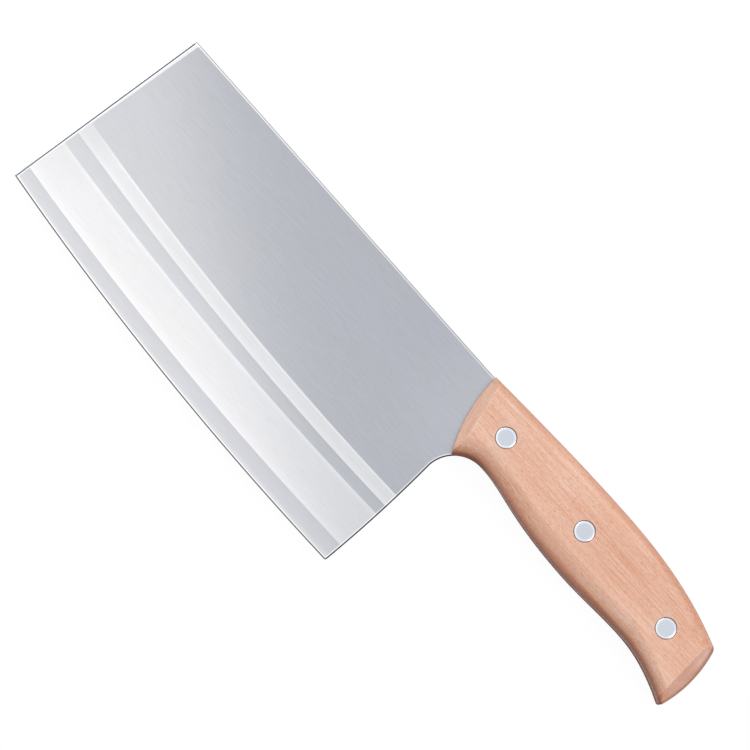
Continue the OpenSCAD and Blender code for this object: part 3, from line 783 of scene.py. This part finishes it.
def clipped(points):
    """The stretch of a line between the wood's arched front and the butt's arc, at the columns'
    places: fixed distances near both ends, and even steps between."""
    in_front = inside_arc(points, FRONT_C, FRONT_R, -1)
    in_butt = inside_arc(points, BUTT_C, BUTT_R, 1)
    s = run_length(points)
    i = np.nonzero(in_front < 0)[0][-1]
    j = np.nonzero(in_butt > 0)[0][-1]
    s0 = s[i] + (s[i + 1] - s[i]) * -in_front[i] / (in_front[i + 1] - in_front[i])
    s1 = s[j] + (s[j + 1] - s[j]) * in_butt[j] / (in_butt[j] - in_butt[j + 1])
    near = np.concatenate([WOOD_FINE, np.arange(0.55, 8.0, 0.22)])
    length = s1 - s0
    mid = np.linspace(near[-1], length - near[-1], 128)
    at = s0 + np.concatenate([near[:-1], mid, length - near[-2::-1]])
    return np.column_stack([np.interp(at, s, points[:, 0]), np.interp(at, s, points[:, 1])])


def scale_sheet(side):
    """The scale's outer face as a grid: rows inset from the lower line and the back line as on an
    ellipse, by its width times one less the sine of the angle, and blended rows between. Also
    gives the height of each place and its share of the lower rounding, 0 on the flat and 1 at the
    rim."""
    angles = np.concatenate([[90, 86], np.arange(82, 27, -3.6), [25.5, 23.4, math.degrees(CREASE)]])
    angles = np.radians(angles)

    def bank(line, show, height, turns):
        """The rows beside one line at the given angles, their heights, and how far down they are."""
        points, inward, wide = line
        rows, tops, gone = [], [], []
        for a in turns:
            part = (1 - math.sin(a)) / (1 - math.sin(CREASE))
            inset = show * (1 - part) + wide * part
            rows.append(clipped(points + inward * inset[:, None]))
            tops.append(FACE_Z - height + height / math.cos(CREASE) * math.cos(a))
            gone.append(1 - part)
        return np.array(rows), np.array(tops), np.array(gone)

    lower_line = low_line()
    show = LOWER_SHOW if side < 0 else TANG_SHOW + tang_inset(lower_line[0][:, 0])
    low, low_z, low_gone = bank(lower_line, show, LOW_ROUND_H, angles)
    back, back_z, _ = bank(back_line(), 0.0, BACK_ROUND_H, angles[::-1])
    v = np.concatenate([[0, 0.012, 0.03], np.linspace(0.06, 0.94, 26), [0.97, 0.988, 1]])
    lower, upper = low[-1], back[0]
    flat = filled(lower, upper, arc_between(FRONT_C, lower[0], upper[0], v),
                  arc_between(BUTT_C, lower[-1], upper[-1], v), v)
    xy = np.vstack([low, flat[1:-1], back])
    z = np.concatenate([low_z, np.full(len(v) - 2, FACE_Z), back_z])
    under = np.concatenate([low_gone, np.zeros(len(xy) - len(low_gone))])
    return xy, np.repeat(z, xy.shape[1]), np.repeat(under, xy.shape[1])


def tinted(values, table):
    """Three columns read off a table of (place, red, green, blue) rows at the given values."""
    table = np.array(table, float)
    return np.stack([np.interp(values, table[:, 0], column) for column in table[:, 1:].T], -1)


def painted_wood_shading(flat, under, d_butt, past_front, past_butt):
    """The painted shade and highlight of every place on the outer face, the product of those for its
    borders.
    """
    x, y = flat.T
    choil = np.interp(x, [181, 187, 193], [1, 0.3, 0])[:, None]
    d_back = np.abs(line_at(BACK_LINE, x) - y)
    round_butt = np.degrees(np.arctan2(y - BUTT_C[1], x - BUTT_C[0]))
    bevel = (np.interp(past_butt, [0, 0.4], [0, 1]) * np.interp(d_butt, [1.2, 2], [0, 1]))[:, None]
    # Painted light: the steep lower rim is lifted brighter just behind the choil.
    choil_painted_light = (np.interp(x, [187, 193, 216, 238], [0, 0.18, 0.18, 0])
            * np.interp(under, [0.7, 0.85], [0, 1]))[:, None]
    return (tinted(under, UNDER_PAINTED_SHADE) * (1 - choil + choil * tinted(under, CHOIL_PAINTED_SHADE))
            * tinted(d_back, BACK_PAINTED_SHADE) * tinted(d_butt, BUTT_PAINTED_SHADE)
            * tinted(past_front, RIDGE_PAINTED_HIGHLIGHT) * tinted(past_butt, RIDGE_PAINTED_HIGHLIGHT)
            * tinted(past_front, FRONT_PAINTED_SHADE) * (1 + choil_painted_light)
            * (1 - bevel + bevel * tinted(round_butt, BUTT_BEVEL_PAINTED_LIGHT)))


def scale_face(side):
    """The outer face of a scale as a grid of points, with their painted shade and highlight: the least
    of the rounding and the two end bevels, with a small round where it meets the arched ends."""
    xy, z, under = scale_sheet(side)
    flat = xy.reshape(-1, 2)
    past_front = (flat - FRONT_C) @ [math.cos(FRONT_TURN), math.sin(FRONT_TURN)] - FRONT_RIDGE
    past_butt = (flat - BUTT_C) @ [math.cos(BUTT_TURN), math.sin(BUTT_TURN)] - BUTT_RIDGE
    top = soft_least(z, FACE_Z - past_front * math.tan(END_BEVEL), FRONT_SOFT)
    top = soft_least(top, FACE_Z - past_butt * math.tan(END_BEVEL), BUTT_SOFT)
    d_front = np.maximum(inside_arc(flat, FRONT_C, FRONT_R, -1), 0)
    d_butt = np.maximum(inside_arc(flat, BUTT_C, BUTT_R, 1), 0)
    top -= quarter_drop(d_front, FRONT_RIM_R) + quarter_drop(d_butt, BUTT_RIM_R)
    points = np.column_stack([butt_corners(flat, xy), np.maximum(top, PLATE_T / 2 + 0.2)])
    return points.reshape(*xy.shape[:2], 3), painted_wood_shading(flat, under, d_butt, past_front, past_butt)


def make_scale(name, node, material, side):
    """A wooden scale, drilled and counterbored for the rivets: its outer face, the flat face that
    lies on the plate, the walls between them and the bores."""
    grid, face_painted_shading = scale_face(side)
    head_r, barrel_r = HEAD_R + HEAD_GAP, BARREL_R + BARREL_GAP
    upper, lower, quads, loops = with_holes(grid, RIVETS, WOOD_WINDOW, head_r + LIP_W, barrel_r)
    lower[:, 2] = PLATE_T / 2
    n = len(upper)
    lips = np.concatenate(loops)
    walls = [rim_walls(quads, n, lips)]
    # Painted shade marks: the lip ring round each head and its first step down.
    groove_painted_shade = np.zeros(2 * n)
    groove_painted_shade[lips] = 1
    body, marks, total = [upper, lower], [groove_painted_shade], 2 * n
    for centre, loop in zip(RIVETS.values(), loops):
        m = len(loop)
        out = upper[loop, :2] - centre
        out /= np.hypot(*out.T)[:, None]
        rings = [loop]
        for r, height, mark in ((head_r, FACE_Z - LIP_H, 1.0), (head_r, FACE_Z - HEAD_T, 0.0),
                                (barrel_r, FACE_Z - HEAD_T, 0.0)):
            body.append(np.column_stack([centre + r * out, np.full(m, height)]))
            marks.append(np.full(m, mark))
            rings.append(total + np.arange(m))
            total += m
        walls.append(ring_quads(np.array(rings + [loop + n])))
    faces = np.vstack([quads, quads[:, ::-1] + n] + walls)
    # Painted shade and highlight per vertex: the outer face's, and a dark brown on the face against
    # the plate that shades the walls toward the steel.
    tint = np.ones((total, 3))
    tint[:len(face_painted_shading)] = face_painted_shading
    tint[n:2 * n] = INNER_PAINTED_SHADE
    piece_from(name, np.vstack(body), faces, material, node,
               {"groove_painted_shade": np.concatenate(marks), "tint": tint}, 32, side)


# Rivets
def turned(name, node, profile, centre, steps=96):
    """A turned piece: a closed profile of (radius, height) places carried round the rivet's axis,
    each at the centre plus its radius times the cosine and sine of the turn."""
    r, h = np.array(profile, float).T
    turn = np.linspace(0, 2 * math.pi, steps, endpoint=False)[:, None]
    places = (centre[0] + r * np.cos(turn), centre[1] + r * np.sin(turn), h)
    points = np.stack(np.broadcast_arrays(*places), -1).reshape(-1, 3)
    quads = ring_quads(np.arange(len(points)).reshape(steps, -1).T)
    piece_from(name, points, quads[:, ::-1], RIVET_STEEL, node,
               {"from_axis": np.tile(r, steps)}, 24)


def head_profile(face, seat, out):
    """Half a head's section from its centre to its seat: a flat face, a softened corner, the
    bright rim chamfer and the upright side. out is +1 on the upper side and -1 on the lower."""
    chamfer_r, soft = HEAD_R - RIM_W, 0.04
    return [(0, face), (2.7, face), (chamfer_r - soft, face), (chamfer_r + soft, face - out * 0.03),
            (HEAD_R - 0.1, face - out * (RIM_H - 0.06)), (HEAD_R, face - out * (RIM_H + 0.05)),
            (HEAD_R, seat)]


def make_rivets():
    """Each rivet's two halves: the barrel hanging from the upper head, the pin on the lower one."""
    face, seat = FACE_Z - HEAD_SINK, FACE_Z - HEAD_T
    barrel_end, bore_r, pin_end = -seat + END_GAP, PIN_R + PIN_GAP, -seat + PIN_L + END_GAP
    tube = head_profile(face, seat, 1) + [
        (BARREL_R, seat), (BARREL_R, barrel_end), (bore_r, barrel_end), (bore_r, seat), (0, seat)]
    pin = head_profile(-face, -seat, -1) + [
        (PIN_R, -seat), (PIN_R, pin_end - PIN_CHAMFER), (PIN_R - PIN_CHAMFER, pin_end), (0, pin_end)]
    for place, centre in RIVETS.items():
        turned("rivet_tube_" + place + "_turned", "rivet_tube_" + place, tube, centre)
        turned("rivet_pin_" + place + "_turned", "rivet_pin_" + place, pin[::-1], centre)


make_blade()
make_scale("beech_scale_upper", "scale_upper", WOOD_UPPER, 1)
make_scale("beech_scale_lower", "scale_lower", WOOD_LOWER, -1)
make_rivets()


# Floor, world and lamps, in metres
def make_floor():
    """A wide flat floor under the knife, a grid of squares at z = 0."""
    n, half = 9, 12.0
    g = np.linspace(-half, half, n)
    points = np.stack(np.meshgrid(g, g), -1).reshape(-1, 2)
    mesh = bpy.data.meshes.new("floor")
    mesh.from_pydata(np.column_stack([points, np.zeros(len(points))]).tolist(), [],
                     grid_quads(n, n).tolist())
    mesh.materials.append(studio_white())
    floor = bpy.data.objects.new("floor", mesh)
    scene.collection.objects.link(floor)


def make_world(even_light):
    """White to the camera, a dimmer even light on the object, and in reflections white overhead and
    softer toward the horizon, where a room's walls would stand."""
    world = bpy.data.worlds.new("studio")
    scene.world = world
    world.cycles.sampling_method = "NONE"
    f = Finish(world, "ShaderNodeOutputWorld")
    seen, mirrored = f.seen()
    around = f.add("ShaderNodeTexCoord", output="Generated")
    up = f.add("ShaderNodeSeparateXYZ", {"Vector": around}, output="Z")
    walls = f.ramp(up, [(0.0, 0.55), (0.35, 0.74), (0.85, 1.0)])
    strength = f.add("ShaderNodeMapRange", {"Value": seen, "To Min": even_light, "To Max": 1.0})
    f.surface(f.add("ShaderNodeBackground", {
        "Color": f.mix(mirrored, (1, 1, 1), walls), "Strength": strength}))


def soft_lamp(name, place, aim, size, level, colour=(1, 1, 1), turn=0.0, lights="both"):
    """A rectangular area lamp at place, facing aim, unseen by the camera. With lights "wood" it
    lights only matt surfaces, to the given level of full white at the aim; with "steel" it shows
    only in reflections, as bright as level."""
    data = bpy.data.lights.new(name, "AREA")
    data.shape, data.size, data.size_y, data.color = "RECTANGLE", size[0], size[1], colour
    direction = np.array(aim, float) - np.array(place, float)
    reach = np.linalg.norm(direction)
    area = size[0] * size[1]
    data.energy = level * math.pi * (area if lights == "steel" else math.pi * reach ** 2)
    lamp = bpy.data.objects.new(name, data)
    lamp.location = place
    yaw = math.atan2(direction[1], direction[0]) - math.pi / 2
    tilt = math.acos(-direction[2] / reach)
    lamp.rotation_euler = (tilt, 0, yaw if tilt > 0.01 else math.radians(turn))
    lamp.visible_camera = False
    lamp.visible_glossy = lights != "wood"
    lamp.visible_diffuse = lights != "steel"
    scene.collection.objects.link(lamp)


make_floor()
make_world(0.12)
soft_lamp("top_lamp", (0.05, 0.45, 1.25), (0.05, 0, 0), (0.9, 0.9), 0.62, lights="wood")
soft_lamp("toe_side_lamp", (-1.1, 0.20, 0.45), (0, 0, 0), (0.9, 0.5), 0.62)
soft_lamp("butt_side_lamp", (1.05, 0.10, 0.60), (0, 0, 0), (0.7, 0.5), 0.30)
soft_lamp("toe_card", (-0.118, -0.096, 0.23), (-0.118, -0.096, 0), (0.6, 0.2), 0.57,
          (1.0, 0.93, 0.80), -29.9, lights="steel")
soft_lamp("neck_card", (0.06, 0.05, 0.12), (0.06, 0.05, 0), (0.10, 0.08), 0.11, lights="steel")
